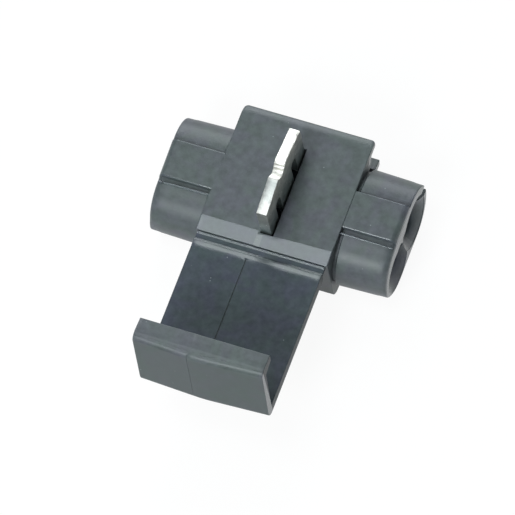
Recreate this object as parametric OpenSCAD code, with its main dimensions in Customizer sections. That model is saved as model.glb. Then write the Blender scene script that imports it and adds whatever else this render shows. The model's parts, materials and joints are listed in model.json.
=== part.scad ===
// Run-and-tap wire connector: a plastic housing with two parallel wire channels,
// a hooked cover on a living hinge, and a slotted metal contact that is pressed
// down through a slit to pierce and join both wires.
// X runs along the wires, +Y points away from the hinge, +Z is up.
// The origin is on the axis of the run channel, halfway along it.

/* [Wire channels] */
// Inner diameter of each wire channel
bore_d = 4.8; // [4.4:0.1:5.2]
// Thickness of the wall between the two channels
septum_t = 0.3; // [0.2:0.1:0.8]
// Radial width of the funnel at each channel mouth
lead_in = 0.6; // [0.3:0.1:0.9]
// Length of the funnel at each channel mouth
lead_len = 1.2; // [0.6:0.1:2]
// Height of the recess that joins the two mouths
mouth_h = 4; // [3:0.1:4.4]

/* [Block] */
// Width of the block along the wires
block_w = 16; // [14:0.5:20]
// Plastic above the channels
roof_t = 2.35; // [2:0.05:3]
// Plastic below the channels
floor_t = 2; // [2:0.05:2.6]
// Plastic between the tap channel and the front face
front_wall = 2.4; // [2.2:0.1:3.4]
// Plastic behind the run channel, out to the jaws
back_wall = 4.35; // [4:0.05:4.6]
// Depth of the sloping strip along the front top edge, left of the mould's joint
strip_d = 1.85; // [1.4:0.05:2]
// Drop of the sloping strip at the front edge
strip_drop = 0.28; // [0.2:0.01:0.4]
// Distance of the mould's joint left of the middle
joint_x = 0.9; // [0:0.1:2]
// Width by which the strip is narrower right of the joint
joint_step = 0.3; // [0.1:0.05:0.5]
// Radius of the front bottom edge
toe_r = 1.4; // [0.6:0.1:1.6]

/* [Barrels] */
// Length of each barrel beyond the block
barrel_len = 6.5; // [4:0.5:10]
// Wall above and below the channels where a barrel leaves the block
barrel_wall = 1.95; // [1.4:0.05:2]
// Distance of the rounded back's centre behind the run channel's axis
back_spread = 0.35; // [0:0.05:0.4]
// Distance of the rounded front's centre in front of the tap channel's axis
front_spread = 0.15; // [0:0.05:0.3]
// Radius lost by the barrel towards its mouth
barrel_taper = 0.2; // [0:0.05:0.4]
// Radius of the rounded rim
rim_r = 0.3; // [0.2:0.05:0.5]
// Depth of the flat pads below the block's top face
pad_drop = 0.1; // [0:0.05:0.3]
// Width of the groove along the front of each pad
groove_w = 0.45; // [0.2:0.05:0.5]

/* [Wire entry] */
// Height of the slit that lets the run wire in from behind
slit_h = 1.4; // [1:0.1:1.8]
// Height of the slit's middle above the channel axis
slit_z = 0.6; // [0.3:0.1:0.8]
// Thickness of the upper jaw's nose
nose_t = 1; // [0.9:0.05:1.2]
// Height of the flat ledge of the lower jaw above the slit's low side
ledge_up = 0.9; // [0.6:0.1:1]
// Reach of the ledge beyond each side of the block
ledge_out = 0.25; // [0.1:0.05:0.4]

/* [Contact] */
// Thickness of the metal plate
plate_t = 1.27; // [0.8:0.01:1.6]
// Plate beyond the outermost points of the two channels
plate_over = 0.6; // [0.4:0.05:0.8]
// Width of the slots that grip the wires
wire_slot = 1.4; // [1:0.1:1.8]
// Height of the wire slot's round end above the channel axis, contact pressed
wire_slot_top = 1.7; // [1.5:0.05:2]
// Height of the middle of the top edge above its ends
crown = 0.95; // [0.4:0.05:1.2]
// Distance the contact is pressed down
stroke = 6.15; // [5:0.05:6.3]
// Clearance each side of the plate in its slit
slit_gap = 0.12; // [0.08:0.01:0.2]

/* [Cover] */
// Width of the cover
cover_w = 15.6; // [13:0.1:16]
// Thickness of the cover's plate
cover_t = 1.5; // [1.2:0.1:2]
// Thickness of the end wall
wall_t = 1.45; // [1.2:0.05:1.8]
// Lean of the end wall towards the block, in degrees
wall_lean = 4; // [2:0.5:5]
// Reach of the hook beyond the end wall
hook_reach = 1.65; // [1.3:0.05:1.8]
// Thickness of the hook's lip
lip_t = 1.45; // [1.2:0.05:1.7]
// Gap between the closed cover and the block's top face
close_gap = 0.06; // [0.04:0.01:0.12]
// Bulge of the end wall's outer face at mid width
wall_bulge = 0.4; // [0:0.05:0.5]

/* [Hinge] */
// Distance of the bend line in front of the block
hinge_out = 0.4; // [0.35:0.05:0.5]
// Distance of the bend line below the block's top face
hinge_down = 0.12; // [0.1:0.01:0.16]
// Width of the thin web between block and cover
web_w = 1.17; // [1.1:0.01:1.3]
// Thinnest part of the web
web_t = 0.36; // [0.25:0.01:0.5]

/* [Hidden] */
$fn = 64;
tiny = 0.02;

moulding_grey = [0.42, 0.44, 0.45];
tinned_metal = [0.75, 0.75, 0.72];

// Channel axes and the faces of the block
bore_r = bore_d / 2;
pitch = bore_d + septum_t;
mid_y = -pitch / 2;
top_z = bore_r + roof_t;
base_z = -bore_r - floor_t;
front_y = -pitch - bore_r - front_wall;
back_y = bore_r + back_wall;
half_w = block_w / 2;
end_x = half_w + barrel_len;

// Barrels
root_r = bore_r + barrel_wall;
mouth_r = root_r - barrel_taper;
barrel_start = half_w - 0.5;
pad_z = top_z - pad_drop;
pad_front = -pitch + 0.1;
pad_back = 0.05;
groove_z = mouth_r - 0.25;

// Bend line of the living hinge, and the cover seen from it
hinge_y = front_y - hinge_out;
hinge_z = top_z - hinge_down;
inner_z = 2 * hinge_z - top_z - close_gap;
under_z = inner_z - cover_t;
web_gap = 0.03;
cover_start = front_y - web_w - web_gap;

// Jaws of the side entry
slit_low = slit_z - slit_h / 2;
slit_high = slit_z + slit_h / 2;
throat_y = bore_r + 0.9;
nose_z = top_z - nose_t;
nose_back = back_y - 1.55;
nose_r = 0.9;
jaw_y = throat_y + 1.1;
ledge_y = jaw_y + 0.2;
ledge_z = slit_low + ledge_up;

// Contact plate, drawn raised
plate_half = (pitch + bore_d) / 2 + plate_over;
crown_z = top_z - 0.05 + stroke;
shoulder_z = crown_z - crown;
tip_z = bore_r + 0.35;
guide_z = tip_z - stroke - 0.15;
dip_half = 1.25;
dip_d = 0.85;
dip_r = (dip_half * dip_half + dip_d * dip_d) / (2 * dip_d);
slot_round_z = wire_slot_top + stroke - wire_slot / 2;
flare_h = 1;
flare_w = 0.6;
tip_chamfer = 0.4;
end_gap = 0.15;

// End wall: its foot stands clear behind the block when the cover is shut
foot_gap = 0.45;
wall_in_y = 2 * hinge_y - back_y - foot_gap;
wall_out_y = wall_in_y - wall_t;
shelf_z = base_z + 1.95;
hook_under_z = 2 * hinge_z - shelf_z + 0.25;
wall_shift = (hook_under_z - inner_z) * tan(wall_lean);
neck_y = wall_in_y + wall_shift;
hook_tip_y = neck_y + hook_reach;
hook_nose_z = hook_under_z + 0.3;
lip_z = hook_nose_z + lip_t;
out_top_y = wall_out_y + (lip_z - inner_z) * tan(wall_lean);
hook_r = norm([hook_tip_y - hinge_y, hook_nose_z - hinge_z]);
flank_r = hook_r - 0.08;
shelf_start = 2 * hinge_y - hook_tip_y - 0.35;

// Draws a flat shape in the Y-Z plane and extrudes it along X about the middle
module along_x(length) {
  rotate([90, 0, 90])
    translate([0, 0, -length / 2])
      linear_extrude(length)
        children();
}

// Material to cut away so that a corner at the origin, filling +X +Y, is round
module corner_cut(r) {
  difference() {
    translate([-tiny, -tiny])
      square(r + tiny);
    translate([r, r])
      circle(r);
  }
}

// Outline of the block, before the jaws are opened
module block_outline() {
  difference() {
    intersection() {
      polygon([
        [front_y, base_z],
        [back_y, base_z],
        [back_y, top_z],
        [front_y, top_z]
      ]);
      translate([hinge_y, hinge_z])
        circle(flank_r, $fn = 256);
    }
    // Step under the back edge, where the hook sits
    translate([shelf_start, base_z - 1])
      square([back_y, shelf_z - base_z + 1]);
    // Rounded toe and rounded nose
    translate([front_y, base_z])
      corner_cut(toe_r);
    translate([back_y, top_z])
      rotate(180)
        corner_cut(nose_r);
  }
}

// Wedge taken off the front top edge to make the sloping strip
module strip_wedge(depth) {
  polygon([
    [front_y + depth, top_z],
    [front_y + depth - 2 * strip_d, top_z - 2 * strip_drop],
    [front_y + depth - 2 * strip_d, top_z + 1],
    [front_y + depth, top_z + 1]
  ]);
}

// Open space between the two jaws behind the run channel
module jaw_mouth() {
  polygon([
    [back_y + 1, nose_z],
    [nose_back, nose_z],
    [jaw_y, nose_z - 0.9],
    [throat_y, slit_high],
    [throat_y, slit_low],
    [ledge_y, ledge_z],
    [back_y + 1, ledge_z]
  ]);
}

// Flat ledge of the lower jaw, which stands out beyond the block's sides
module ledge() {
  along_x(block_w + 2 * ledge_out)
    intersection() {
      translate([ledge_y, ledge_z - 1.2])
        square([back_y - ledge_y, 1.2]);
      translate([hinge_y, hinge_z])
        circle(flank_r, $fn = 256);
    }
}

// Half section of a barrel: distance along the wire, then radius
module barrel_side() {
  polygon([
    [barrel_start, 0],
    [barrel_start, root_r],
    [half_w, root_r],
    [end_x - rim_r, mouth_r],
    [end_x - rim_r, 0]
  ]);
  translate([end_x - rim_r - tiny, 0])
    square([rim_r + tiny, mouth_r - rim_r]);
  translate([end_x - rim_r, mouth_r - rim_r])
    circle(rim_r);
}

// One barrel on the +X side, round in front and behind, flat between the axes
module barrel() {
  for (y = [back_spread, -pitch - front_spread])
    translate([0, y, 0])
      rotate([0, 90, 0])
        rotate_extrude($fn = 128)
          mirror([1, -1])
            barrel_side();
  translate([0, back_spread, 0])
    rotate([90, 0, 0])
      linear_extrude(pitch + back_spread + front_spread)
        for (flip = [0, 1])
          mirror([0, flip])
            barrel_side();
}

// Groove along the front of the pad
module pad_groove() {
  translate([half_w, pad_front - groove_w, groove_z])
    cube([barrel_len + 1, groove_w, root_r]);
}

// Flat pad between the channel axes
module pad() {
  translate([barrel_start, pad_front, 0])
    cube([end_x - barrel_start, pad_back - pad_front, pad_z]);
}

// One wire channel with a funnel at each mouth
module channel() {
  rotate([0, 90, 0])
    cylinder(h = 2 * end_x + 2, r = bore_r, center = true, $fn = 128);
  for (flip = [0, 1])
    mirror([flip, 0, 0])
      translate([end_x - lead_len, 0, 0])
        rotate([0, 90, 0])
          cylinder(h = lead_len + tiny, r1 = bore_r, r2 = bore_r + lead_in, $fn = 128);
}

// Recess that joins the two mouths, so that the wall between them starts deeper
module mouth_recess() {
  translate([end_x - lead_len, -pitch, -mouth_h / 2])
    cube([lead_len + 1, pitch, mouth_h]);
}

module housing() {
  color(moulding_grey)
    difference() {
      union() {
        along_x(block_w)
          block_outline();
        ledge();
        for (flip = [0, 1])
          mirror([flip, 0, 0]) {
            difference() {
              barrel();
              pad_groove();
            }
            pad();
          }
      }
      // Sloping strip, a little wider and lower left of the mould's joint
      along_x(block_w + 1)
        strip_wedge(strip_d - joint_step);
      translate([-half_w - joint_x, 0, 0])
        along_x(block_w)
          strip_wedge(strip_d);
      // Side entry of the run channel, through block and barrels
      along_x(block_w + 2 * ledge_out)
        jaw_mouth();
      translate([-end_x - 1, 0, slit_low])
        cube([2 * end_x + 2, back_spread + root_r + tiny, slit_h]);
      for (y = [0, -pitch])
        translate([0, y, 0])
          channel();
      for (flip = [0, 1])
        mirror([flip, 0, 0])
          mouth_recess();
      // Guide slit of the contact
      translate([-plate_t / 2 - slit_gap, mid_y - plate_half - end_gap, guide_z])
        cube([plate_t + 2 * slit_gap, 2 * (plate_half + end_gap), top_z - guide_z + 1]);
    }
}

// Thin web that joins the block to the cover, hollowed along its bend line
module hinge_web() {
  hollow_r = 0.6;
  rim_z = inner_z - 0.3;
  low_z = rim_z - 0.45 - web_t;
  color(moulding_grey)
    along_x(cover_w - 0.2)
      difference() {
        translate([front_y - web_w, low_z])
          square([web_w, rim_z - low_z]);
        translate([front_y - web_w / 2 - 0.05, low_z + web_t + hollow_r])
          circle(hollow_r);
      }
}

// Section of the cover, lying open: plate, leaning end wall and hooked lip
module cover_outline() {
  difference() {
    polygon([
      [cover_start, inner_z],
      [wall_in_y, inner_z],
      [neck_y, hook_under_z],
      [hook_tip_y, hook_nose_z],
      [hook_tip_y + 0.1, lip_z - 0.25],
      [out_top_y + 1, lip_z],
      [out_top_y, lip_z - 0.3],
      [wall_out_y, inner_z - 0.2],
      [wall_out_y, under_z],
      [cover_start, under_z]
    ]);
    translate([cover_start, inner_z])
      rotate(180)
        corner_cut(0.35);
    translate([cover_start, under_z])
      rotate(90)
        corner_cut(0.5);
    translate([wall_out_y, under_z])
      corner_cut(1.2);
  }
}

module cover() {
  taper = atan(wall_bulge / (cover_w / 2));
  color(moulding_grey)
    difference() {
      along_x(cover_w)
        cover_outline();
      // The outer face falls away from mid width towards both ends
      for (flip = [0, 1])
        mirror([flip, 0, 0])
          translate([0, wall_out_y, inner_z])
            rotate([-wall_lean, 0, 0])
              rotate([0, 0, taper])
                translate([-1, -5, -5])
                  cube([cover_w, 5, 20]);
    }
}

module contact() {
  color(tinned_metal)
    along_x(plate_t)
      difference() {
        polygon([
          [mid_y - plate_half, shoulder_z],
          [mid_y - dip_half, crown_z],
          [mid_y + dip_half, crown_z],
          [mid_y + plate_half, shoulder_z],
          [mid_y + plate_half, tip_z + tip_chamfer],
          [mid_y + plate_half - tip_chamfer, tip_z],
          [mid_y - plate_half + tip_chamfer, tip_z],
          [mid_y - plate_half, tip_z + tip_chamfer]
        ]);
        // Shallow dip where the strip was cut off
        translate([mid_y, crown_z - dip_d + dip_r])
          circle(dip_r, $fn = 128);
        // Wire slots with a flared entry
        for (y = [0, -pitch])
          translate([y, 0]) {
            translate([0, slot_round_z])
              circle(wire_slot / 2);
            translate([-wire_slot / 2, tip_z - 1])
              square([wire_slot, slot_round_z - tip_z + 1]);
            polygon([
              [-wire_slot / 2 - flare_w, tip_z - tiny],
              [wire_slot / 2 + flare_w, tip_z - tiny],
              [wire_slot / 2, tip_z + flare_h],
              [-wire_slot / 2, tip_z + flare_h]
            ]);
          }
      }
}

housing();
hinge_web();
cover();
contact();
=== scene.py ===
# %% [markdown]
# # A tap connector for two wires
# The object is a small grey moulding with a metal contact standing in it. This lesson dresses the
# finished CAD model: the CAD parts give every place and size, and Blender adds the rounded edges,
# the flexing web and the surfaces. Blender works in metres. The pieces here are a few millimetres
# thick, so they are drawn in millimetres and scaled once, when they are finished.

# %% Load the CAD model
import bpy
import bmesh
import json
import math
from mathutils import Matrix, Vector, noise


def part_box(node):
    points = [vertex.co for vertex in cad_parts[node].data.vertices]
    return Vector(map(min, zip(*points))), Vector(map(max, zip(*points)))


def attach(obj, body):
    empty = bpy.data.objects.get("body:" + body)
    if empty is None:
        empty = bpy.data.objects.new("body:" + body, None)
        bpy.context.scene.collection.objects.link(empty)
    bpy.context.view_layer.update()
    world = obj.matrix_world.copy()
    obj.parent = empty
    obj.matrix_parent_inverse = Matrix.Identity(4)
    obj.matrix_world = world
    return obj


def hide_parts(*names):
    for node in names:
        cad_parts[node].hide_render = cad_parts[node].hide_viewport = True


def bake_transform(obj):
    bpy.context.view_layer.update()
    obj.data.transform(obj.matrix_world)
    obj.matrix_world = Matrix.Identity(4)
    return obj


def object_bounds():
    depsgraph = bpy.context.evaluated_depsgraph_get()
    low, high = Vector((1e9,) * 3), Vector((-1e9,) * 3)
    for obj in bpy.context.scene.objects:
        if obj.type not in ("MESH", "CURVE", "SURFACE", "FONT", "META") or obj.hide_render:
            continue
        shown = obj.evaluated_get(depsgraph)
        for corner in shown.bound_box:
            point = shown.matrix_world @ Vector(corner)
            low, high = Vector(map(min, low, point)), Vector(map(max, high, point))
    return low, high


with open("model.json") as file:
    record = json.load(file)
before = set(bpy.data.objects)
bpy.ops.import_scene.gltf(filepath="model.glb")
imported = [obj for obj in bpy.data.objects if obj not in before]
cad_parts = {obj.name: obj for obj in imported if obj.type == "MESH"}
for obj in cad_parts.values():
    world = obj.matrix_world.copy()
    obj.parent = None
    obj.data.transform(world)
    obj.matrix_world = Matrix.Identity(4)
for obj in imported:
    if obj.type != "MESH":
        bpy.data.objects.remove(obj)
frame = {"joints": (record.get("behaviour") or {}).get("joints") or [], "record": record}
cad_low, cad_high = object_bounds()
MM = 0.001
print("CAD box in mm:", [round((b - a) / MM, 2) for a, b in zip(cad_low, cad_high)])

# %% [markdown]
# ## The camera
# A product photograph is taken from far away with a long lens, so parallel edges stay nearly
# parallel. The camera looks down from above the open cover and is rolled a little, so its three
# axes are written out and put into one matrix, which is easier than finding three angles.

# %% Camera
cam_back = Vector((0.2321, -0.3545, 0.9058)).normalized()
cam_up = Vector((-0.2718, 0.8706, 0.4103))
cam_right = cam_up.cross(cam_back).normalized()
cam_up = cam_back.cross(cam_right)
view_centre = Vector((0, -9.9, 4.75))
left_mm, down_mm = 0.387, 1.218
aim = (view_centre - cam_right * left_mm - cam_up * down_mm) * MM
distance = 800.6 * MM
picture_px = 515
px_per_mm = 8.79

lens = bpy.data.cameras.new("long_lens")
lens.sensor_width = 36
lens.lens = lens.sensor_width * px_per_mm * distance / MM / picture_px
camera = bpy.data.objects.new("long_lens", lens)
turn = Matrix((cam_right, cam_up, cam_back)).transposed().to_4x4()
camera.matrix_world = Matrix.Translation(aim + cam_back * distance) @ turn
bpy.context.scene.collection.objects.link(camera)
bpy.context.scene.camera = camera
print("lens in mm:", round(lens.lens, 1))

# %% [markdown]
# ## Sizes taken from the frame
# The bores, the hinge line and the boxes of the CAD parts are read from the frame, so that every
# piece made here lies where its CAD part does. All of them are turned into millimetres.

# %% Sizes from the frame
mounts = {m["name"]: m for m in frame["record"]["mounts"]}
hinge = next(j for j in frame["joints"] if j["name"] == "cover_hinge")
bore_r = mounts["run_channel"]["dims"]["r_mm"]
tap_y = mounts["tap_channel"]["pos_m"][1] / MM
base_z = mounts["base_face"]["pos_m"][2] / MM
hinge_y = hinge["pos_m"][1] / MM
hinge_z = hinge["pos_m"][2] / MM


def box_mm(node):
    low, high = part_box(node)
    return Vector(low) / MM, Vector(high) / MM


housing_low, housing_high = box_mm("housing")
cover_low, cover_high = box_mm("cover")
contact_low, contact_high = box_mm("contact")
end_x, front_y, top_z = housing_high.x, housing_low.y, housing_high.z
print("bore radius", bore_r, "pitch", -tap_y, "hinge at", hinge_y, hinge_z)

# %% [markdown]
# ## Colours and nodes
# Colours are picked as sRGB hex values, but shaders count in linear light, so one function turns
# them over. A second small function adds a node with its settings, its links and, for a colour
# ramp, its stops. It puts ShaderNode before the kind, as all their names start with that. A Mix
# node has sockets for numbers and for colours under the same names, so those for colours are
# named here by their places.

# %% Helpers for materials
MIX_SHARE, MIX_FIRST, MIX_SECOND, MIX_COLOUR = 0, 6, 7, 2


def srgb(hex_colour):
    parts = [int(hex_colour[i:i + 2], 16) / 255 for i in (1, 3, 5)]
    linear = [c / 12.92 if c <= 0.04045 else ((c + 0.055) / 1.055) ** 2.4 for c in parts]
    return (*linear, 1)


def add(tree, kind, links=None, stops=(), **settings):
    node = tree.nodes.new("ShaderNode" + kind)
    for name, value in settings.items():
        setattr(node, name, value)
    for socket, value in (links or {}).items():
        if isinstance(value, bpy.types.NodeSocket):
            tree.links.new(value, node.inputs[socket])
        else:
            node.inputs[socket].default_value = value
    for _ in stops[2:]:
        node.color_ramp.elements.new(0.5)
    for i, (place, colour) in enumerate(stops):
        node.color_ramp.elements[i].position = place
        node.color_ramp.elements[i].color = srgb(colour)
    return node


def new_material(name):
    material = bpy.data.materials.new(name)
    material.use_nodes = True
    material.node_tree.nodes.clear()
    return material, material.node_tree


print("a middle grey in linear light:", [round(c, 3) for c in srgb("#808080")])

# %% [markdown]
# ## Moulded polypropylene
# The housing and its cover are one moulding of grey polypropylene, a waxy plastic that reflects
# about four per cent of the light head-on (IOR 1.49). The steel mould gives each face its own
# gloss, so one function makes all the finishes. They share their patterns and differ in gloss, in
# the depth of their grain, in how dark they are and in three hues. A photograph wrapped round the
# part would be quicker, but these patterns look right from every side and at any distance.
#
# Clouds a few millimetres wide are the flow of the melt, which shifts the grey towards green and
# violet. Smaller smears are finger marks, and they change colour and gloss together, as grease
# does. Most of a noise lies between 0.3 and 0.7, so it is stretched from there. The grain is the
# texture of the steel, drawn at 0.2 mm, coarser than the real one, so that it shows. A few specks
# are dust: the centres of some cells of a coarse pattern.

# %% Moulding finishes
flow_mm, smear_mm, grain_mm, dust_mm = 3.2, 0.9, 0.2, 1.9
noise_low, noise_high = 0.3, 0.7
plastic_ior = 1.49
grain_strength = 0.35
dust_colour = "#9AA3A4"
grey_hues = ("#4D5655", "#4F5558", "#51545B")
cool_hues = ("#4B5659", "#4C545B", "#4D525E")
green_hues = ("#4C5755", "#4E5657", "#505659")


def moulded_polypropylene(name, gloss, grain_depth, shades, hues=grey_hues):
    """gloss and shades are the lowest and the highest roughness and brightness."""
    material, tree = new_material(name)
    place = add(tree, "TexCoord").outputs["Object"]
    flow = add(tree, "TexNoise", {
        "Vector": place, "Scale": 1 / (flow_mm * MM), "Detail": 2, "Roughness": 0.5,
        "Distortion": 0.8})
    smear = add(tree, "TexNoise", {
        "Vector": place, "Scale": 1 / (smear_mm * MM), "Detail": 4, "Roughness": 0.6})
    grain = add(tree, "TexNoise", {
        "Vector": place, "Scale": 1 / (grain_mm * MM), "Detail": 2, "Roughness": 0.6})
    hue = add(tree, "ValToRGB", {"Fac": flow.outputs[0]},
              stops=tuple(zip((0.36, 0.5, 0.64), hues)))
    shade, sheen = [add(tree, "MapRange", {
        "Value": smear.outputs[0], "From Min": noise_low, "From Max": noise_high,
        "To Min": lowest, "To Max": highest}) for lowest, highest in (shades, gloss)]
    colour = add(tree, "HueSaturation", {
        "Color": hue.outputs["Color"], "Value": shade.outputs[0]})
    cells = add(tree, "TexVoronoi", {
        "Vector": place, "Scale": 1 / (dust_mm * MM), "Randomness": 1.0})
    speck = add(tree, "MapRange", {
        "Value": cells.outputs["Distance"], "From Min": 0.02, "From Max": 0.05,
        "To Min": 0.5, "To Max": 0.0})
    dusty = add(tree, "Mix", {
        MIX_SHARE: speck.outputs[0], MIX_FIRST: colour.outputs[0], MIX_SECOND: srgb(dust_colour)},
        data_type="RGBA")
    relief = add(tree, "Bump", {
        "Height": grain.outputs[0], "Strength": grain_strength, "Distance": grain_depth * MM})
    shader = add(tree, "BsdfPrincipled", {
        "Base Color": dusty.outputs[MIX_COLOUR], "Roughness": sheen.outputs[0],
        "IOR": plastic_ior, "Normal": relief.outputs[0]})
    add(tree, "OutputMaterial", {"Surface": shader.outputs[0]})
    return material


# %% [markdown]
# The mould's steel was worked in several ways, and the eye reads each of them from its highlights:
# - eroded: spark-eroded steel leaves the top of the block matt, with a broad dull sheen;
# - satin: stoned steel leaves the barrels smoother, so each carries one soft band of light, and the
#   lip of the cover too;
# - polished: the strip and the inside of the cover mirror a lamp as a blurred patch, and a cooler
#   grey shows in them; in the channels its darker grey is painted shade;
# - smooth_ends_painted_light: faces that slide along the steel as the mould opens are glossy at a
#   low angle, and their lighter grey is painted light;
# - blasted: the outside of the cover is grit-blasted and shows next to no highlight;
# - stretched: the cover's starting edge was drawn thin when the hinge was first bent, and shines;
# - rough_sides_painted_shade: the sides of the cover's plate drag along the steel and are dull, and
#   their dark grey is painted shade, the shadowed floor that they mirror.

# %% The seven finishes
eroded = moulded_polypropylene("spark_eroded_polypropylene", (0.38, 0.48), 0.03, (0.7, 1.05))
satin = moulded_polypropylene("satin_polypropylene", (0.40, 0.50), 0.03, (0.66, 1.03))
polished = moulded_polypropylene(
    "polished_polypropylene", (0.205, 0.23), 0.003, (0.62, 0.86), cool_hues)
# The lighter grey of the smooth ends is painted light, on end faces, recesses, flash and strip.
smooth_ends_painted_light = moulded_polypropylene("smooth_polypropylene_ends_painted_light", (0.16, 0.24), 0.004, (0.82, 1.16))
blasted = moulded_polypropylene(
    "blasted_polypropylene", (0.5, 0.6), 0.016, (0.62, 0.86), green_hues)
stretched = moulded_polypropylene("stretched_polypropylene", (0.24, 0.28), 0.003, (0.8, 1.04))
# The dark grey of the plate's rough sides is painted shade.
rough_sides_painted_shade = moulded_polypropylene("rough_polypropylene_sides_painted_shade", (0.5, 0.6), 0.02, (0.5, 0.68))
print("finishes:", [finish.name for finish in bpy.data.materials])

# %% [markdown]
# ## Tin-plated brass
# The contact is stamped from brass strip that was plated with tin, so its faces are dull silver.
# The plating is cloudy where it froze. Its grey darkens towards the block, which is painted shade
# where the contact stands out of its pocket. A metal needs no IOR of its own: its colour is the
# colour of its reflection, so the clouds go into the colour and the roughness together. Small light
# dots are painted glints on the plating.

# %% Tin-plated faces
cloud_mm, glint_mm = 0.8, 0.7
shade_from, shade_to = 5.5, 11.5
painted_shade_stops = ((0.0, "#9AA4A2"), (0.5, "#C8C8C2"), (1.0, "#E6E2DA"))
glint_colour = "#F4F4F0"

tinned_brass, tree = new_material("tin_plated_brass")
place = add(tree, "TexCoord").outputs["Object"]
part = add(tree, "SeparateXYZ", {0: place})
pits = add(tree, "TexNoise", {
    "Vector": place, "Scale": 1 / (cloud_mm * MM), "Detail": 4, "Roughness": 0.55})
# Painted shade: the grey darkens from the top of the contact down towards the block.
height = add(tree, "MapRange", {
    "Value": part.outputs["Z"], "From Min": shade_from * MM, "From Max": shade_to * MM})
low_shade = add(tree, "ValToRGB", {"Fac": height.outputs[0]}, stops=painted_shade_stops)
cloud, dull = [add(tree, "MapRange", {
    "Value": pits.outputs[0], "From Min": noise_low, "From Max": noise_high,
    "To Min": lowest, "To Max": highest}) for lowest, highest in ((0.8, 1.12), (0.42, 0.54))]
cloudy = add(tree, "HueSaturation", {
    "Color": low_shade.outputs["Color"], "Value": cloud.outputs[0]})
# Painted glints: small light dots on the plating.
cells = add(tree, "TexVoronoi", {
    "Vector": place, "Scale": 1 / (glint_mm * MM), "Randomness": 1.0})
glint = add(tree, "MapRange", {
    "Value": cells.outputs["Distance"], "From Min": 0.09, "From Max": 0.13,
    "To Min": 0.9, "To Max": 0.0})
glinted = add(tree, "Mix", {
    MIX_SHARE: glint.outputs[0], MIX_FIRST: cloudy.outputs[0], MIX_SECOND: srgb(glint_colour)},
    data_type="RGBA")
shader = add(tree, "BsdfPrincipled", {
    "Base Color": glinted.outputs[MIX_COLOUR], "Roughness": dull.outputs[0], "Metallic": 1.0})
add(tree, "OutputMaterial", {"Surface": shader.outputs[0]})
print(tinned_brass.name, "has", len(tree.nodes), "nodes")

# %% [markdown]
# The shear cut the contact's edge after plating and smeared it bright, with scuffs from the tool
# that cut the dip in the middle. It is the lightest thing in the picture. It keeps some roughness,
# because a mirror would show the dark ceiling of the studio instead of white metal. The stops run
# along the edge from its front end to its back end, and the darker ones are the dip.

# %% Sheared edge
scuff_mm = 0.45
burnish_stops = ((0.03, "#D2D1CC"), (0.16, "#B4B5B2"), (0.34, "#9EA09E"),
                 (0.42, "#DEDBD5"), (0.6, "#E2E0DA"), (1.0, "#DCD9D2"))

sheared_brass, tree = new_material("sheared_tin_edge")
place = add(tree, "TexCoord").outputs["Object"]
part = add(tree, "SeparateXYZ", {0: place})
pits = add(tree, "TexNoise", {
    "Vector": place, "Scale": 1 / (scuff_mm * MM), "Detail": 4, "Roughness": 0.6})
along = add(tree, "MapRange", {
    "Value": part.outputs["Y"], "From Min": contact_low.y * MM, "From Max": contact_high.y * MM})
burnish = add(tree, "ValToRGB", {"Fac": along.outputs[0]}, stops=burnish_stops)
marks = add(tree, "MapRange", {
    "Value": pits.outputs[0], "From Min": 0.35, "From Max": 0.6, "To Min": 0.8, "To Max": 1.06})
worn = add(tree, "HueSaturation", {
    "Color": burnish.outputs["Color"], "Value": marks.outputs[0]})
dull = add(tree, "MapRange", {
    "Value": pits.outputs[0], "From Min": noise_low, "From Max": noise_high,
    "To Min": 0.38, "To Max": 0.5})
shader = add(tree, "BsdfPrincipled", {
    "Base Color": worn.outputs[0], "Roughness": dull.outputs[0], "Metallic": 1.0})
add(tree, "OutputMaterial", {"Surface": shader.outputs[0]})
print(sheared_brass.name, "has", len(tree.nodes), "nodes")

# %% [markdown]
# ## Outlines and solids
# Most forms here are one outline drawn across the wires and pulled along them, as the mould's
# parting would pull them. An outline is a list of corners in the Y-Z plane. Its edges are rounded
# with the bevel operator afterwards, where each edge gets the radius that its place in the mould
# has. A box with cuts would give the same solid, but one outline keeps the faces long and clean.

# %% Helpers for outlines
def new_object(bm, name, *materials):
    bmesh.ops.recalc_face_normals(bm, faces=bm.faces)
    mesh = bpy.data.meshes.new(name)
    bm.to_mesh(mesh)
    bm.free()
    for material in materials:
        mesh.materials.append(material)
    solid = bpy.data.objects.new(name, mesh)
    bpy.context.scene.collection.objects.link(solid)
    return solid


def arc(centre_y, centre_z, radius, start, stop, steps):
    angles = [math.radians(start + (stop - start) * i / steps) for i in range(steps + 1)]
    return [(centre_y + radius * math.cos(a), centre_z + radius * math.sin(a)) for a in angles]


def picked(geometry, *kinds):
    return [part for part in geometry if isinstance(part, kinds)]


def pull(outline, x_start, x_end):
    bm = bmesh.new()
    rim = [bm.verts.new((x_start, y, z)) for y, z in outline]
    face = bm.faces.new(rim)
    pulled = bmesh.ops.extrude_face_region(bm, geom=[face])["geom"]
    moved = picked(pulled, bmesh.types.BMVert)
    bmesh.ops.translate(bm, verts=moved, vec=(x_end - x_start, 0, 0))
    bmesh.ops.recalc_face_normals(bm, faces=bm.faces)
    return bm


def round_edges(bm, edges, radius, segments=3):
    bmesh.ops.bevel(bm, geom=list(edges), offset=radius, offset_type="OFFSET", segments=segments,
                    profile=0.5, affect="EDGES", material=-1, clamp_overlap=True)


def edges_along_x(bm, y, z, reach=0.01):
    return [e for e in bm.edges
            if all(abs(v.co.y - y) < reach and abs(v.co.z - z) < reach for v in e.verts)]


def sharp_edges(bm, least=28):
    limit = math.radians(least)
    return [e for e in bm.edges if len(e.link_faces) == 2 and e.calc_face_angle(0) > limit]


print("a quarter circle in six steps has", len(arc(0, 0, 1, 0, 90, 6)), "corners")

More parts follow.
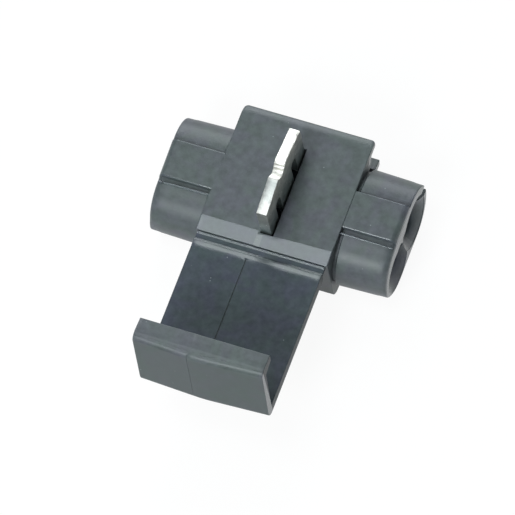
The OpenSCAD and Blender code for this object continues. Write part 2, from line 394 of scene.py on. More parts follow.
# %% [markdown]
# ## Bending a pulled form
# A pulled form is the same all along, and the real one isn't: it bulges, it has rounded corners
# and its edges waver. So it is cut by planes first, and the points on the cuts are moved. Faces
# whose corners were moved apart aren't flat any more. They are split into triangles, because the
# exact Boolean leaves holes at faces that aren't flat.

# %% Helpers for bending and finishing
def give_finishes(bm, choose):
    bm.normal_update()
    for face in bm.faces:
        face.material_index = choose(face.normal, face.calc_center_median())


def flatten_faces(bm):
    bmesh.ops.triangulate(bm, faces=bm.faces)
    bmesh.ops.recalc_face_normals(bm, faces=bm.faces)


def cut_plane(bm, point, normal):
    geometry = list(bm.verts) + list(bm.edges) + list(bm.faces)
    bmesh.ops.bisect_plane(bm, geom=geometry, plane_co=point, plane_no=normal, dist=0.0001)


def slice_across(bm, stations):
    for x in stations:
        cut_plane(bm, (x, 0, 0), (1, 0, 0))


def ease(value):
    value = min(1, max(0, value))
    return value * value * (3 - 2 * value)


def quarter_round(value):
    return 1 - math.sqrt(max(0, 1 - value * value))


print("half way: soft step", ease(0.5), "quarter round", round(quarter_round(0.5), 2))

# %% [markdown]
# ## The block
# The block is the middle of the housing. Its outline has the sloping strip in front, the rounded
# toe below, and two jaws behind: the upper one ends in a rounded nose, and the lower one in a ledge
# that falls a little. The back follows a circle about the hinge line, because the cover's hook
# swings past it. The nose falls in a wide curve first and in a tight one at its tip: the wide
# curve is what catches the lamp behind the object.

# %% Block outline
block_x = 8.0
strip_d, strip_drop = 1.85, 0.28
strip_back, strip_z = front_y + strip_d, top_z - strip_drop
nose_r, nose_tip_r, nose_turn, nose_in = 1.9, 0.5, 32, 0.25
back_y = 6.75
flank_r, flank_z = 17.04, -0.8
shelf_y, shelf_z = 4.675, base_z + 1.95
ledge_y, ledge_z, ledge_back_z = 4.6, 0.8, 0.45
ledge_cover = 0.06
throat_y = bore_r + 0.9
slit_low, slit_high = -0.1, 1.3
jaw_y = throat_y + 1.1
nose_y, nose_z = back_y - 1.55, top_z - 1.0
jaw_z = nose_z - 0.9


def flank_y(z):
    return hinge_y + math.sqrt(flank_r ** 2 - (z - hinge_z) ** 2)


nose_fall = math.radians(nose_turn)
nose_start = back_y - nose_r * math.sin(nose_fall) - nose_in
nose_round = arc(nose_start, top_z - nose_r, nose_r, 90 - nose_turn, 90, 8)
tight_y = nose_round[0][0] - nose_tip_r * math.sin(nose_fall)
tight_z = nose_round[0][1] - nose_tip_r * math.cos(nose_fall)
nose_tip = arc(tight_y, tight_z, nose_tip_r, 5, 90 - nose_turn, 6)[:-1]
block_outline = [
    (front_y, base_z),
    (shelf_y, base_z),
    (shelf_y, shelf_z),
    (flank_y(shelf_z), shelf_z),
    (flank_y(flank_z), flank_z),
    (flank_y(ledge_back_z) - ledge_cover, ledge_back_z - ledge_cover),
    (ledge_y + ledge_cover, ledge_z - ledge_cover),
    (throat_y, slit_low),
    (throat_y, slit_high),
    (jaw_y, jaw_z),
    (nose_y, nose_z),
    (flank_y(nose_z), nose_z),
    *nose_tip,
    *nose_round,
    (strip_back, top_z),
    (front_y, strip_z),
]
print("the block's outline has", len(block_outline), "corners")

# %% [markdown]
# The outline is pulled to the block's width, and its edges are rounded: the toe with a large
# radius, the others with the small one that every moulding has. The two back corners of the upper
# jaw are round when seen from above, so a few slices near them are moved forward. The finish of
# each face follows from where it points and where it lies.

# %% Block
toe_r, edge_r = 1.4, 0.09
corner_r = 0.5
corner_cuts = (corner_r, 0.36, 0.24, 0.14, 0.06)
jaw_side_y = jaw_y - 0.4

bm = pull(block_outline, -block_x, block_x)
round_edges(bm, edges_along_x(bm, front_y, base_z), toe_r, 10)
round_edges(bm, sharp_edges(bm, 40), edge_r, 3)
cut_plane(bm, (0, jaw_side_y, 0), (0, 1, 0))
slice_across(bm, [side * (block_x - back) for back in corner_cuts for side in (1, -1)])
for v in bm.verts:
    out = (abs(v.co.x) - (block_x - corner_r)) / corner_r
    if out > 0 and v.co.y > jaw_y and v.co.z > nose_z - 0.2:
        v.co.y -= corner_r * quarter_round(out) * ease((v.co.y - jaw_y) / (back_y - jaw_y))
flatten_faces(bm)


def block_finish(normal, middle):
    if abs(normal.x) > 0.7:
        return 3 if middle.y > jaw_side_y else 2
    if normal.z > 0.9 and middle.y < strip_back and middle.z > 4:
        return 1
    return 0 if normal.z > 0.8 else 2


give_finishes(bm, block_finish)
housing = new_object(bm, "housing_moulding", eroded, polished, satin, smooth_ends_painted_light)
print("block faces", len(housing.data.polygons))

# %% [markdown]
# ## The strip's step
# The mould's two halves meet at a joint left of the middle. Right of it the strip starts narrower
# and widens to the side. Two blocks side by side would put a seam through the whole moulding, so a
# thin wedge is laid on the strip. Its step at each station says how much narrower the strip is
# there. A hair of plastic crept into the joint and stands on the strip as a fine flash.

# %% Strip step and flash
joint_x = 0.95
joint_steps = (
    (-joint_x, 0.52), (-0.3, 0.4), (0.5, 0.28), (3.0, 0.13), (block_x - edge_r, 0.04))
strip_wedge = [
    (front_y + 0.02, strip_z - 0.1),
    (front_y + 0.4, strip_z - 0.1),
    (strip_back, top_z),
    (strip_back - 0.1, top_z),
    (front_y + 0.02, strip_z),
]
bm = pull(strip_wedge, joint_steps[0][0], joint_steps[-1][0])
slice_across(bm, [x for x, step in joint_steps[1:-1]])
for v in bm.verts:
    step = next(step for x, step in joint_steps if abs(v.co.x - x) < 0.001)
    if v.co.z > top_z - 0.001 and v.co.y < strip_back - 0.05:
        v.co.y = strip_back - step
    elif v.co.y < front_y + 0.1 and v.co.z > strip_z - 0.01:
        v.co.z += strip_drop * step / strip_d
flatten_faces(bm)


# Left of the joint the strip gets the lighter end grey, which is painted light.
def strip_finish(normal, middle):
    if normal.z > 0.995:
        return 0
    return 2 if middle.x < -0.3 else 1


give_finishes(bm, strip_finish)
strip_step = new_object(bm, "strip_step", eroded, polished, smooth_ends_painted_light)

flash_half = 0.05
flash_outline = [
    (front_y + 0.1, strip_z + 0.09),
    (strip_back - 0.3, top_z + 0.04),
    (strip_back - 0.1, top_z - 0.2),
    (front_y + 0.1, strip_z - 0.2),
]
bm = pull(flash_outline, -joint_x - flash_half, -joint_x + flash_half)
joint_flash = new_object(bm, "joint_flash", smooth_ends_painted_light)
print("strip step faces", len(strip_step.data.polygons))

# %% [markdown]
# ## The ledge
# The ledge of the lower jaw stands out a little beyond both sides of the block, so it is a prism
# of its own, which covers the block's narrower ledge. It falls towards the back. Level, it would
# mirror the dark ceiling, and as it is it mirrors the rear lamp and comes out light.

# %% Ledge
ledge_out, ledge_r = 0.25, 0.1
ledge_low = ledge_z - 1.2
ledge_outline = [
    (ledge_y, ledge_low),
    (flank_y(ledge_low), ledge_low),
    (flank_y(ledge_back_z), ledge_back_z),
    (ledge_y, ledge_z),
]
bm = pull(ledge_outline, -block_x - ledge_out, block_x + ledge_out)
round_edges(bm, sharp_edges(bm), ledge_r)
give_finishes(bm, lambda normal, middle: int(abs(normal.x) > 0.8))
ledge = new_object(bm, "ledge", eroded, smooth_ends_painted_light)
print("ledge from", round(-block_x - ledge_out, 2), "to", block_x + ledge_out)

# %% [markdown]
# ## The barrels
# A barrel guides the two wires into the block. It is round in front and behind and flat between,
# and it tapers towards its mouth, so that the mould lets go of it. Its side is drawn once: a neck
# at the block, a fine collar, and the rounded rim. Two cylinders and a box would do for a barrel
# too, but they would leave seams where they meet, and a side line keeps rim and collar in one.

# %% Barrel side
barrel_wall, barrel_taper = 1.95, 0.2
back_axis_y, front_axis_y = 0.35, tap_y - 0.15
root_r = bore_r + barrel_wall
mouth_r = root_r - barrel_taper
barrel_start = block_x - 0.5
rim_r = 0.14
collar_len, collar_h, collar_slope = 1.25, 0.06, 0.02
collar_stations = (0.95, 0.7, 0.5, 0.35)
neck_ramp = 0.2


def barrel_side(neck_d, neck_w):
    neck_end = block_x + neck_w
    neck = [(barrel_start, root_r - neck_d), (neck_end, root_r - neck_d),
            (neck_end + neck_ramp, root_r - 0.01)]
    collar = [(end_x - collar_len, mouth_r + collar_h)]
    collar += [(end_x - back, mouth_r + collar_slope * back) for back in collar_stations]
    rim = arc(end_x - rim_r, mouth_r - rim_r, rim_r, 90, 0, 6)
    return neck + collar + rim


print("barrel radius at the block", round(root_r, 2), "and at the mouth", round(mouth_r, 2))

# %% [markdown]
# The side is spun half a turn about the front axis, pulled straight back, spun half a turn about
# the rear axis and pulled forward again, which closes the ring. The last pull ends on the drawn
# side, so doubled points are merged before the open ends are filled.

# %% Helpers for sweeping
turn_steps = 40


def draw_side(bm, y, side):
    line = [bm.verts.new((x, y, r)) for x, r in side]
    return line + [bm.edges.new(pair) for pair in zip(line, line[1:])]


def half_turn(bm, geometry, axis_y):
    turned = bmesh.ops.spin(bm, geom=geometry, cent=(0, axis_y, 0), axis=(1, 0, 0), angle=math.pi,
                            steps=turn_steps, use_merge=False)
    return picked(turned["geom_last"], bmesh.types.BMEdge)


def straight_pull(bm, edges, distance):
    pulled = bmesh.ops.extrude_edge_only(bm, edges=edges)["geom"]
    bmesh.ops.translate(bm, verts=picked(pulled, bmesh.types.BMVert), vec=(0, distance, 0))
    return picked(pulled, bmesh.types.BMVert, bmesh.types.BMEdge)


def close_ends(bm):
    bmesh.ops.remove_doubles(bm, verts=bm.verts, dist=0.001)
    bmesh.ops.holes_fill(bm, edges=[e for e in bm.edges if e.is_boundary], sides=0)


def sweep_barrel(side):
    bm = bmesh.new()
    flat_d = back_axis_y - front_axis_y
    edges = half_turn(bm, draw_side(bm, front_axis_y, side), front_axis_y)
    edges = half_turn(bm, straight_pull(bm, edges, flat_d), back_axis_y)
    straight_pull(bm, edges, -flat_d)
    close_ends(bm)
    return bm


print("one barrel turns in", 2 * turn_steps, "steps")

# %% [markdown]
# The two barrels differ a little, as the two ends of a worn mould do: the right one has the deeper
# neck. The upper front of each rim is rounded off further than its back. A bevel gives one radius
# all round, so the points near the rim are moved towards the barrel's axis instead, by an amount
# that fades out behind and below.

# %% Barrels
soft_y, soft_d = 0.8, 2.4
soft_z, soft_h = -1.2, 2.6
barrel_kinds = (("barrel_right", 1, 0.4, 0.3), ("barrel_left", -1, 0.12, 0.1))


def round_upper_front(bm, depth, length):
    for v in bm.verts:
        along = (abs(v.co.x) - (end_x - length)) / length
        if along > 0:
            front = ease((soft_y - v.co.y) / soft_d)
            upper = ease((v.co.z - soft_z) / soft_h)
            axis_y = min(back_axis_y, max(front_axis_y, v.co.y))
            inward = Vector((0, axis_y - v.co.y, -v.co.z)).normalized()
            v.co += inward * depth * front * upper * quarter_round(along)


barrels = []
for name, side, neck_d, neck_w in barrel_kinds:
    bm = sweep_barrel(barrel_side(neck_d, neck_w))
    round_upper_front(bm, depth=0.6, length=0.9)
    bmesh.ops.scale(bm, verts=bm.verts, vec=(side, 1, 1))
    flatten_faces(bm)
    give_finishes(bm, lambda normal, middle: int(abs(normal.x) > 0.8))
    barrels.append(new_object(bm, name, satin, smooth_ends_painted_light))
print("barrel faces", len(barrels[0].data.polygons))

# %% [markdown]
# ## Joining and cutting
# The solids become one with the exact Boolean, which keeps the finish of each face. It is slower
# than the fast one, but it copes with faces that touch. All the steps for a piece are stacked on
# it, the result is taken once, and the tools are deleted.

# %% Helper for Booleans
def combine(solid, joined=(), cut=()):
    for tool, operation in [(t, "UNION") for t in joined] + [(t, "DIFFERENCE") for t in cut]:
        step = solid.modifiers.new(operation.lower(), "BOOLEAN")
        step.object = tool
        step.operation = operation
        step.solver = "EXACT"
        step.material_mode = "TRANSFER"
    ready = solid.evaluated_get(bpy.context.evaluated_depsgraph_get())
    result = bpy.data.meshes.new_from_object(ready)
    solid.modifiers.clear()
    solid.data = result
    for tool in (*joined, *cut):
        bpy.data.objects.remove(tool)


print("to be joined:", [solid.name for solid in (strip_step, joint_flash, ledge, *barrels)])

# %% [markdown]
# ## Grooves and raised edges
# A groove runs along the front of each barrel's flat, with a fine raised edge on the barrel's side
# that catches the light. Bump could fake the raised edge, but it would vanish at a low angle, so it
# is a thin round rod, most of which lies in the barrel, with one gap, as on the real one.

# %% Grooves and raised edges
pad_front = tap_y + 0.34
groove_front, groove_z = -5.4, mouth_r - 0.05
groove_end = end_x - 0.12
bead_r, bead_z = {1: 0.12, -1: 0.17}, root_r - 0.07
bead_runs = ((block_x - 0.2, end_x - 0.85), (end_x - 0.72, end_x - 0.2))
groove_outline = [
    (groove_front, groove_z),
    (pad_front, groove_z),
    (pad_front, root_r + 1),
    (groove_front, root_r + 1),
]
for side, barrel in zip((1, -1), barrels):
    groove = new_object(pull(groove_outline, side * block_x, side * groove_end), "groove", satin)
    combine(barrel, cut=[groove])


def raised_edges(side):
    outline = arc(groove_front, bead_z, bead_r[side], 0, 330, 11)
    rods = []
    for start, stop in bead_runs:
        bm = pull(outline, side * start, side * stop)
        for v in bm.verts:
            v.co.z -= barrel_taper * (abs(v.co.x) - block_x) / (end_x - block_x)
        rods.append(new_object(bm, "raised_edge", polished))
    return rods


print("groove from", groove_front, "to", round(pad_front, 2), "at height", round(groove_z, 2))

# %% [markdown]
# ## The pads
# A flat pad lies on each barrel between the channels, so that the pliers' jaw finds a level face.
# It is a block with rounded long edges. Its outer end falls in a quarter round, deeper in front
# than behind. A bevel would fall by the same amount all along, so the pad is sliced near its end
# and the slices are let down.

# %% Pads
pad_back, pad_low, pad_z = 0.0, 3.0, top_z - 0.1
pad_end = end_x - 0.02
pad_front_r, pad_back_r = 0.2, 0.11
pad_round = 0.8
pad_cuts = (pad_round, 0.7, 0.6, 0.5, 0.4, 0.3, 0.2, 0.12, 0.05)
pad_fall, front_fall, fall_d = 0.5, 0.45, 3
pad_outline = [(pad_front, pad_low), (pad_back, pad_low), (pad_back, pad_z), (pad_front, pad_z)]


def pad_finish(normal, middle):
    if abs(normal.x) > 0.8:
        return 1
    return 2 if abs(normal.y) > 0.2 and normal.z > 0.2 else 0


def make_pad(side):
    bm = pull(pad_outline, side * barrel_start, side * pad_end)
    round_edges(bm, edges_along_x(bm, pad_front, pad_z), pad_front_r, 4)
    round_edges(bm, edges_along_x(bm, pad_back, pad_z), pad_back_r, 3)
    slice_across(bm, [side * (end_x - back) for back in pad_cuts])
    for v in bm.verts:
        along = (abs(v.co.x) - (end_x - pad_round)) / pad_round
        if along > 0 and v.co.z > pad_low + 0.5:
            fall = pad_fall + front_fall * ease(-v.co.y / fall_d)
            v.co.z -= fall * quarter_round(along)
    flatten_faces(bm)
    give_finishes(bm, pad_finish)
    return new_object(bm, "pad", eroded, smooth_ends_painted_light, polished)


pads = []
for side in (1, -1):
    pads += [make_pad(side), *raised_edges(side)]
print("pads and raised edges:", len(pads))

# %% [markdown]
# ## The channels
# Both channels run right through, with a funnel at each mouth that opens downwards. The pins that
# formed them are polished, and the darker polished grey paints shade into the channels, while the
# waist between the mouths gets the lighter end grey as painted light. The cutter is spun from its
# side view, flares at the end, and has its flare pulled down, so that the wall is thin below.
# Sculpting the funnels would take longer and leave the bore out of round.

# %% Channel cutters
lead_len, lead_step = 1.2, 0.03
lead_start = end_x - lead_len
trumpet = ((0.9, 0.08), (0.65, 0.2), (0.45, 0.38), (0.3, 0.58), (0.2, 0.76))
flare_r = 0.1
flare_angles = [math.radians(90 * i / 4) for i in range(5)]
past_end = 1.0
channel_steps = 80
waist_front, waist_back = -2.62, -0.9


# Painted light: the waist between the mouths gets the lighter end grey.
def waist_painted_light(normal, middle):
    return int(waist_front < middle.y < waist_back and abs(middle.x) > lead_start)


def channel_cutter(y, mouth_y, mouth_z, mouth):
    half = [(lead_start - 0.5, bore_r), (lead_start, bore_r + lead_step)]
    half += [(end_x - back, bore_r + (mouth - bore_r) * opened) for back, opened in trumpet]
    half += [(end_x - flare_r + flare_r * math.sin(a), mouth + flare_r - flare_r * math.cos(a))
             for a in flare_angles]
    half.append((end_x + past_end, mouth + flare_r))
    bm = bmesh.new()
    side = draw_side(bm, y, [(-x, r) for x, r in reversed(half)] + half)
    bmesh.ops.spin(bm, geom=side, cent=(0, y, 0), axis=(1, 0, 0), angle=2 * math.pi,
                   steps=channel_steps, use_merge=True)
    close_ends(bm)
    for v in bm.verts:
        along = min(1, max(0, (abs(v.co.x) - lead_start) / lead_len))
        v.co.y += along * (mouth_y - y)
        v.co.z += along * mouth_z
    give_finishes(bm, waist_painted_light)
    # The darker polished grey in the channels is painted shade.
    return new_object(bm, "channel_cutter", polished, smooth_ends_painted_light)


channels = [channel_cutter(0, 0.25, -0.5, 3.35),
            channel_cutter(tap_y, tap_y - 0.35, -1.05, 3.0)]
print("channel cutter faces", [len(cutter.data.polygons) for cutter in channels])

# %% [markdown]
# ## Slit, pocket, recesses and mark
# A slit behind the run channel lets its wire in sideways. A narrow pocket across both channels
# guides the contact, and its rim is widened a little. A shallow recess joins the two mouths, and
# the right end of the upper jaw has a thin hollow mark. All of them are outlines, pulled across,
# because each keeps its form along the wires.

# %% Slit, pocket, recesses and mark
slit_front, slit_back = 0.5, back_axis_y + root_r + 0.02
slit_outline = [(slit_front, slit_low), (slit_back, slit_low),
                (slit_back, slit_high), (slit_front, slit_high)]
wire_slit = new_object(pull(slit_outline, -end_x - past_end, end_x + past_end), "wire_slit", satin)

pocket_left, pocket_right = contact_low.x - 0.08, contact_high.x + 0.26
pocket_low, pocket_high = contact_low.y - 0.15, contact_high.y + 0.15
pocket_floor, pocket_rim = -3.55, 0.06
pocket_outline = [
    (pocket_low, pocket_floor),
    (pocket_high, pocket_floor),
    (pocket_high, top_z - 0.05),
    (pocket_high + pocket_rim, top_z + 0.01),
    (pocket_high + pocket_rim, top_z + 1),
    (pocket_low - pocket_rim, top_z + 1),
    (pocket_low - pocket_rim, top_z + 0.01),
    (pocket_low, top_z - 0.05),
]
pocket = new_object(pull(pocket_outline, pocket_left, pocket_right), "pocket", satin)

# The recesses get the lighter end grey, which is painted light.
recess_d = 0.22
recess_outline = [(-4.6, 2.1), (-3.6, 2.0), (-2.3, 2.03), (-1.2, 2.25), (-1.2, 0.2), (-4.6, 0.2)]
recesses = [
    new_object(pull(recess_outline, side * (end_x - recess_d), side * (end_x + past_end)),
               "recess", smooth_ends_painted_light)
    for side in (1, -1)]

mark_d = 0.12
mark_outline = [(4.5, 4.55), (4.2, 4.35), (3.98, 3.95), (3.92, 3.5), (4.12, 3.9), (4.34, 4.25)]
jaw_mark = new_object(pull(mark_outline, block_x - mark_d, block_x + 0.2), "jaw_mark", satin)
print("pocket width", round(pocket_right - pocket_left, 2), "length",
      round(pocket_high - pocket_low, 2))

# %% [markdown]
# ## The finished housing
# Every finished piece goes through the same last steps. Doubled points are merged, and the mesh is
# scaled to metres. Faces are shaded smooth, except across sharp edges and where two finishes meet,
# because each finish was a face of its own in the mould. Weighted normals keep the large flat
# faces flat beside their rounded edges. Then the piece is attached to the body it moves with, and
# the CAD node that it stands for is hidden.

# %% Finished housing
sharp_angle = math.radians(32)
weld_mm = 0.0005


def finish_piece(solid, body, *nodes):
    mesh = solid.data
    bm = bmesh.new()
    bm.from_mesh(mesh)
    bmesh.ops.remove_doubles(bm, verts=bm.verts, dist=weld_mm)
    bmesh.ops.dissolve_degenerate(bm, edges=bm.edges, dist=weld_mm)
    bmesh.ops.scale(bm, verts=bm.verts, vec=(MM, MM, MM))
    bm.normal_update()
    for face in bm.faces:
        face.smooth = True
    for e in bm.edges:
        finishes = {face.material_index for face in e.link_faces}
        e.smooth = len(finishes) == 1 and e.calc_face_angle(0) < sharp_angle
    bm.to_mesh(mesh)
    open_edges = sum(1 for e in bm.edges if not e.is_manifold)
    bm.free()
    weighted = solid.modifiers.new("flat_faces_stay_flat", "WEIGHTED_NORMAL")
    weighted.keep_sharp = True
    if body:
        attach(solid, body)
    if nodes:
        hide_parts(*nodes)
    print(solid.name, len(mesh.polygons), "faces,", open_edges, "open edges")


combine(housing, joined=[strip_step, joint_flash, ledge, *barrels, *pads],
        cut=[*channels, *recesses, wire_slit, pocket, jaw_mark])
finish_piece(housing, "housing", "housing")

# %% [markdown]
# ## The cover
# The cover is a flat plate, an end wall that leans in a little and a hooked lip that snaps behind
# the block. Its starting edge stands up in a low crest, where the plastic was squeezed as the
# hinge was first bent. All of it is one outline pulled across, with the corners that the mould's
# parting gives, and the four kinds of edge get their own radius.

# %% Cover outline
cover_x = cover_high.x
cover_front, cover_start = cover_low.y, cover_high.y
under_z, lip_z = cover_low.z, cover_high.z
plate_z = under_z + 1.5
start_y = cover_start + 0.15
crest_y, crest_h = start_y - 0.16, 0.12
wall_t, lean = 1.45, math.tan(math.radians(4))
hook_z = 11.96
hook_nose = (-25.63, 12.26)
wall_in_y = cover_front + wall_t
lip_out_y, lip_out_z = cover_front + (lip_z - plate_z) * lean, lip_z - 0.16
cover_outline = [
    # The starting edge and its crest
    (start_y, plate_z - 0.12),
    (start_y - 0.03, plate_z - 0.01),
    (start_y - 0.09, plate_z + 0.07),
    (crest_y, plate_z + crest_h),
    (crest_y - 0.1, plate_z + crest_h - 0.004),
    (crest_y - 0.2, plate_z + crest_h - 0.016),
    (crest_y - 0.52, plate_z + 0.036),
    (crest_y - 0.7, plate_z + 0.014),
    (crest_y - 1.0, plate_z),
    # The inner side of the end wall, and the hook
    (wall_in_y, plate_z),
    (wall_in_y + (hook_z - plate_z) * lean, hook_z),
    hook_nose,
    (hook_nose[0] + 0.1, lip_z - 0.25),
    # The top of the lip, with a soft groove along it
    (lip_out_y + 1.35, lip_z),
    (lip_out_y + 0.95, lip_z - 0.08),
    (lip_out_y + 0.82, lip_z - 0.14),
    (lip_out_y + 0.7, lip_z - 0.09),
    (lip_out_y, lip_out_z),
    # The outer side and the underside
    (cover_front, plate_z - 0.2),
    (cover_front, under_z),
    (start_y, under_z),
]
start_r, foot_r, lip_r, cover_edge_r = 0.5, 1.2, 0.62, 0.1
bm = pull(cover_outline, -cover_x, cover_x)
round_edges(bm, edges_along_x(bm, start_y, under_z), start_r, 6)
round_edges(bm, edges_along_x(bm, cover_front, under_z), foot_r, 10)
round_edges(bm, edges_along_x(bm, lip_out_y, lip_out_z), lip_r, 8)
round_edges(bm, sharp_edges(bm, 35), cover_edge_r, 3)
print("cover outline corners", len(cover_outline), "faces with rounded edges", len(bm.faces))

# %% [markdown]
# The outer face of the end wall stands out at mid width and falls back to both sides, the mould's
# joint drew a fine line, and the crest is a little wavy, because the web was stretched when it was
# first bent. A lattice or a sculpting brush could bend the cover like that. Here it is sliced
# across at a few stations, and each slice is moved by a small amount that can be measured.

# %% Cover
joint_line_x, line_half, line_d, ridge_h = -1.15, 0.07, 0.07, 0.05
station_mm, last_station = 0.6, 12
wall_foot_z, outer_t = 6, 0.7
bulge, bulge_round, bulge_middle = 0.4, 0.5, 0.7
dent_x, dent_w, dent_share = 0.75, 0.8, 0.75
wave_share, wave_turns = 0.15, 1.3


def outer_share(y, z):
    """1 on the outer side of the end wall, 0 on the inner one."""
    if z < wall_foot_z:
        return min(1, max(0, (cover_front + foot_r - y) / foot_r))
    return float(y < wall_in_y + (z - plate_z) * lean - outer_t)


cut_plane(bm, (0, wall_in_y, 0), (0, 1, 0))
stations = [joint_line_x + offset for offset in (-line_half, 0, line_half)]
stations += [i * station_mm for i in range(-last_station, last_station + 1)
             if abs(i * station_mm - joint_line_x) > 0.2]
slice_across(bm, stations)
for v in bm.verts:
    x, y, z = v.co
    outer = outer_share(y, z)
    v.co.y += outer * bulge * (math.sqrt(x * x + bulge_round) - bulge_middle) / cover_x
    on_line = abs(x - joint_line_x) < 0.01
    if on_line and abs(z - plate_z) < 0.02 and y < crest_y - 0.6:
        v.co.z -= line_d
    if on_line and outer > 0.9:
        v.co.y += ridge_h
    if y > crest_y - 0.9 and z > plate_z + 0.005:
        dent = dent_share * math.exp(-((x - dent_x) / dent_w) ** 2)
        v.co.z -= (z - plate_z) * (dent + wave_share * math.sin(wave_turns * x))
bmesh.ops.recalc_face_normals(bm, faces=bm.faces)
print("slices across the cover:", len(stations))

# %% [markdown]
# The cover's finishes follow from where a face points and where it lies. Its inside is polished and
# its outside blasted, its plate's sides are rough with a dark grey of painted shade, its end wall's
# sides smooth with a lighter grey of painted light, the top of the lip is satin, and the starting
# edge was stretched. Painting them by hand would have to be done again after each change of the
# outline.

# %% Cover finishes
edge_from_y, lip_from_z = crest_y - 0.45, lip_z - 0.9


def cover_finish(normal, middle):
    if abs(normal.x) > 0.7:
        return 2 if middle.y < wall_in_y else 3
    if middle.y > edge_from_y:
        return 4
    if middle.z > lip_from_z and normal.z > 0.1:
        return 5
    on_plate = normal.z > 0.2 and middle.z < plate_z + 0.1 and middle.y > wall_in_y - 0.1
    return 1 if on_plate or (normal.y > 0.8 and middle.z > plate_z) else 0


give_finishes(bm, cover_finish)
cover = new_object(bm, "cover_moulding", blasted, polished, smooth_ends_painted_light, rough_sides_painted_shade, stretched,
                   satin)
finish_piece(cover, "cover", "cover")

# %% [markdown]
# ## The living hinge
# Between block and cover the same plastic thins to a web that can bend hundreds of times. It is
# hollowed along its bend line. It could be a part of the housing's mesh, but it is a piece of its
# own, attached to neither body, and the CAD part of the web is hidden.

# %% Flexing web
web_x = cover_x - 0.05
hollow_front, hollow_back = front_y - 0.38, start_y + 0.16
hollow_z, hollow_r = 4.27, 0.2
web_top = [(front_y + 0.1, 4.2), (front_y - 0.02, 4.2), (front_y - 0.06, 4.28)]
web_top += arc(front_y - 0.15, 4.3, 0.09, 150, 30, 5)
web_top += arc(hollow_front, hollow_z + hollow_r, hollow_r, -30, -90, 5)
web_top += arc(hollow_back, hollow_z + hollow_r, hollow_r, -90, -150, 5)
web_top += [(start_y - 0.06, 4.42), (start_y - 0.3, 4.3)]
web_low = [(start_y - 0.3, 3.8), (front_y - 0.2, 3.8), (front_y + 0.1, 3.6)]
bm = pull(web_top + web_low, -web_x, web_x)
web = new_object(bm, "flexing_web", polished)
finish_piece(web, None, "hinge_web")
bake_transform(web)

# %% [markdown]
# ## The contact
# The contact is one stamped plate with two slots that grip the wires. The slots flare at the tips,
# so that a wire finds its way in. The dip in the top edge has the small steps of the tool that cut
# the strip. A plate with cutters for the slots would do as well, but one loop drawn round it all
# needs no Boolean, and it shows how such a blank is laid out.

# %% Contact outline
contact_mid_y = tap_y / 2
shoulder_z = contact_high.z - 0.95
wire_top_z, travel = 1.7, 6.15
slot_r = 0.7
slot_z = wire_top_z + travel - slot_r
tip_z, tip_cut = contact_low.z, 0.4
flare_w, flare_h = 0.6, 1.0
# From the back end of the dip to its front end: distance from the middle, depth
dip_steps = (
    (0.95, 0.0), (0.8, 0.14), (0.62, 0.2), (0.5, 0.42), (0.3, 0.5), (0.12, 0.8), (-0.2, 0.86),
    (-0.5, 0.84), (-0.66, 0.62), (-0.86, 0.56), (-1.0, 0.3), (-1.2, 0.24), (-1.32, 0.0))


def wire_slot(y):
    left = [(y - slot_r - flare_w, tip_z), (y - slot_r, tip_z + flare_h)]
    right = [(y + slot_r, tip_z + flare_h), (y + slot_r + flare_w, tip_z)]
    return left + arc(y, slot_z, slot_r, 180, 0, 16) + right


contact_outline = [
    (contact_low.y, tip_z + tip_cut),
    (contact_low.y + tip_cut, tip_z),
    *wire_slot(tap_y),
    *wire_slot(0),
    (contact_high.y - tip_cut, tip_z),
    (contact_high.y, tip_z + tip_cut),
    (contact_high.y, shoulder_z),
    *[(contact_mid_y + across, contact_high.z - down) for across, down in dip_steps],
    (contact_low.y, shoulder_z),
]
print("contact outline corners", len(contact_outline), "thickness",
      round(contact_high.x - contact_low.x, 2))

# %% [markdown]
# The shear tore the top edge a little as it came through, so the plate is sliced and its points
# near the top are drawn in by a noise that is the same in every run. The press left the right
# edge rolled over, which is the larger bevel. The other edges are only broken.

# %% Contact
contact_slices = 28
torn_mm, torn_turns, torn_layer = 0.05, 2.2, 3.0
roll_r, broken_r = 0.2, 0.04

bm = pull(contact_outline, contact_low.x, contact_high.x)
for i in range(1, contact_slices):
    y = contact_low.y + (contact_high.y - contact_low.y) * i / contact_slices
    cut_plane(bm, (0, y, 0), (0, 1, 0))
for v in bm.verts:
    if v.co.z > shoulder_z + 0.02:
        torn = noise.noise(Vector((v.co.x, v.co.y * torn_turns, torn_layer)))
        v.co.x += math.copysign(torn_mm, v.co.x) * min(0, torn)
rolled = [e for e in bm.edges
          if all(v.co.x > contact_high.x - 0.01 and v.co.z > shoulder_z - 0.1 for v in e.verts)]
round_edges(bm, rolled, roll_r, 5)
round_edges(bm, sharp_edges(bm), broken_r, 2)
give_finishes(bm, lambda normal, middle: int(normal.z > 0.6 and middle.z > shoulder_z - 0.2))
contact = new_object(bm, "contact_plate", tinned_brass, sheared_brass)
finish_piece(contact, "contact", "contact")

# %% [markdown]
# ## The floor
# The connector lies on white paper. The paper glows for the camera and for reflections, so it stays
# white without more light on the object, and its other part is lit by the lamps, so it keeps the
# object's shadow. In reflections the paper gets dimmer away from the object, as a sheet does that
# ends after a hand's width. Lamps strong enough to burn the paper white would do it too, but they
# would bleach the grey plastic.

# %% Floor
floor_r = 1.3
near, far = 0.02, 0.08
near_glow, far_glow = 1.0, 0.3
camera_share, mirror_share = 0.93, 0.8

bm = bmesh.new()
bmesh.ops.create_circle(bm, cap_ends=True, segments=64, radius=floor_r)
bmesh.ops.translate(bm, verts=bm.verts, vec=(0, 0, cad_low.z))
floor_mesh = bpy.data.meshes.new("floor")
bm.to_mesh(floor_mesh)
bm.free()
floor = bpy.data.objects.new("floor", floor_mesh)
bpy.context.scene.collection.objects.link(floor)

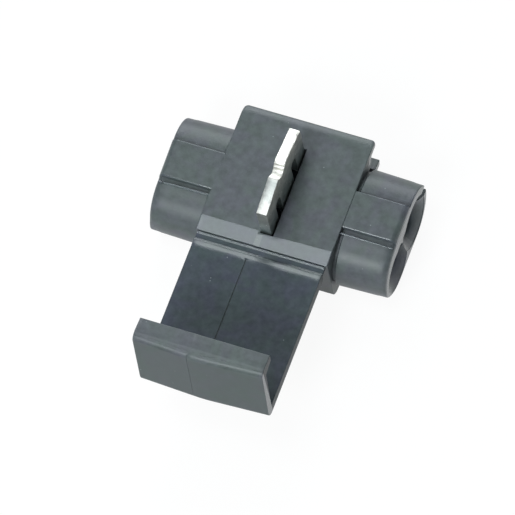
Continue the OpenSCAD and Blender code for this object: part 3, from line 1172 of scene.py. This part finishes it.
paper, tree = new_material("white_paper")
matt = add(tree, "BsdfDiffuse", {"Color": srgb("#F6F6F6")})
path = add(tree, "LightPath")
spot = add(tree, "TexCoord")
away = add(tree, "VectorMath", {0: spot.outputs["Object"]}, operation="LENGTH")
pool = add(tree, "MapRange", {
    "Value": away.outputs["Value"], "From Min": near, "From Max": far,
    "To Min": near_glow, "To Max": far_glow})
level = add(tree, "Math", {
    0: pool.outputs[0], 1: path.outputs["Is Camera Ray"]}, operation="MAXIMUM")
glow = add(tree, "Emission", {"Color": (1, 1, 1, 1), "Strength": level.outputs[0]})
mirrored = add(tree, "Math", {
    0: path.outputs["Is Glossy Ray"], 1: mirror_share}, operation="MULTIPLY")
share = add(tree, "Math", {
    0: path.outputs["Is Camera Ray"], 1: camera_share, 2: mirrored.outputs[0]},
    operation="MULTIPLY_ADD")
mix = add(tree, "MixShader", {
    0: share.outputs[0], 1: matt.outputs[0], 2: glow.outputs[0]})
add(tree, "OutputMaterial", {"Surface": mix.outputs[0]})
floor_mesh.materials.append(paper)
print("floor at", round(cad_low.z / MM, 2), "mm")

# %% [markdown]
# ## The room
# Glossy plastic is only as good as what it mirrors. The room is dim above and white at the horizon,
# like a studio with a white curtain all round, so that the upright faces get a light sheen while
# the level ones stay dark. A picture of a studio could be wrapped round the scene, but such a room
# is one ramp on the height of the direction.

# %% Room
curtain_z, ceiling_z = 0.16, 0.42
curtain_light, ceiling_light = 0.85, 0.12
room_colour = (0.95, 1, 1.02, 1)

world = bpy.data.worlds.new("studio_room")
bpy.context.scene.world = world
world.use_nodes = True
tree = world.node_tree
tree.nodes.clear()
direction = add(tree, "TexCoord")
height = add(tree, "SeparateXYZ", {0: direction.outputs["Generated"]})
fade = add(tree, "MapRange", {
    "Value": height.outputs["Z"], "From Min": curtain_z, "From Max": ceiling_z,
    "To Min": curtain_light, "To Max": ceiling_light})
path = add(tree, "LightPath")
seen = add(tree, "Math", {
    0: fade.outputs[0], 1: path.outputs["Is Camera Ray"]}, operation="MAXIMUM")
room = add(tree, "Background", {"Color": room_colour, "Strength": seen.outputs[0]})
add(tree, "OutputWorld", {"Surface": room.outputs[0]})
print("the curtain ends", round(math.degrees(math.asin(curtain_z))), "degrees up")

# %% [markdown]
# ## The lamps
# Four soft boxes stand on a sphere about the object. Each is placed by its height and its turn, and
# its height decides which slope mirrors it: the front one shows on the barrels, the overhead one on
# the strip, and the rear ones on the nose and on the backs of the barrels. They are small, so that
# each highlight ends within its own face.

# %% Lamps
lamp_distance = 0.45
lamp_colour = (0.93, 1.0, 1.02)
# Name, height and turn in degrees, watts, side in metres. The turn goes from the front to the right
lamps = (
    ("front_softbox", 40, -8, 1.4, 0.16),
    ("overhead_softbox", 78, -70, 0.72, 0.18),
    ("rear_softbox", 22, -166, 0.74, 0.2),
    ("rear_left_softbox", 40, -150, 0.45, 0.16),
)
for name, height_deg, turn_deg, watts, size in lamps:
    rise, swing = math.radians(height_deg), math.radians(turn_deg)
    towards = Vector((
        math.sin(swing) * math.cos(rise), -math.cos(swing) * math.cos(rise), math.sin(rise)))
    lamp = bpy.data.lights.new(name, "AREA")
    lamp.shape = "SQUARE"
    lamp.size = size
    lamp.energy = watts
    lamp.color = lamp_colour
    box = bpy.data.objects.new(name, lamp)
    box.location = towards * lamp_distance
    box.rotation_mode = "QUATERNION"
    box.rotation_quaternion = towards.to_track_quat("Z", "Y")
    bpy.context.scene.collection.objects.link(box)
    print(name, watts, "W at", [round(part, 2) for part in box.location])
bpy.context.scene.view_settings.view_transform = "Standard"
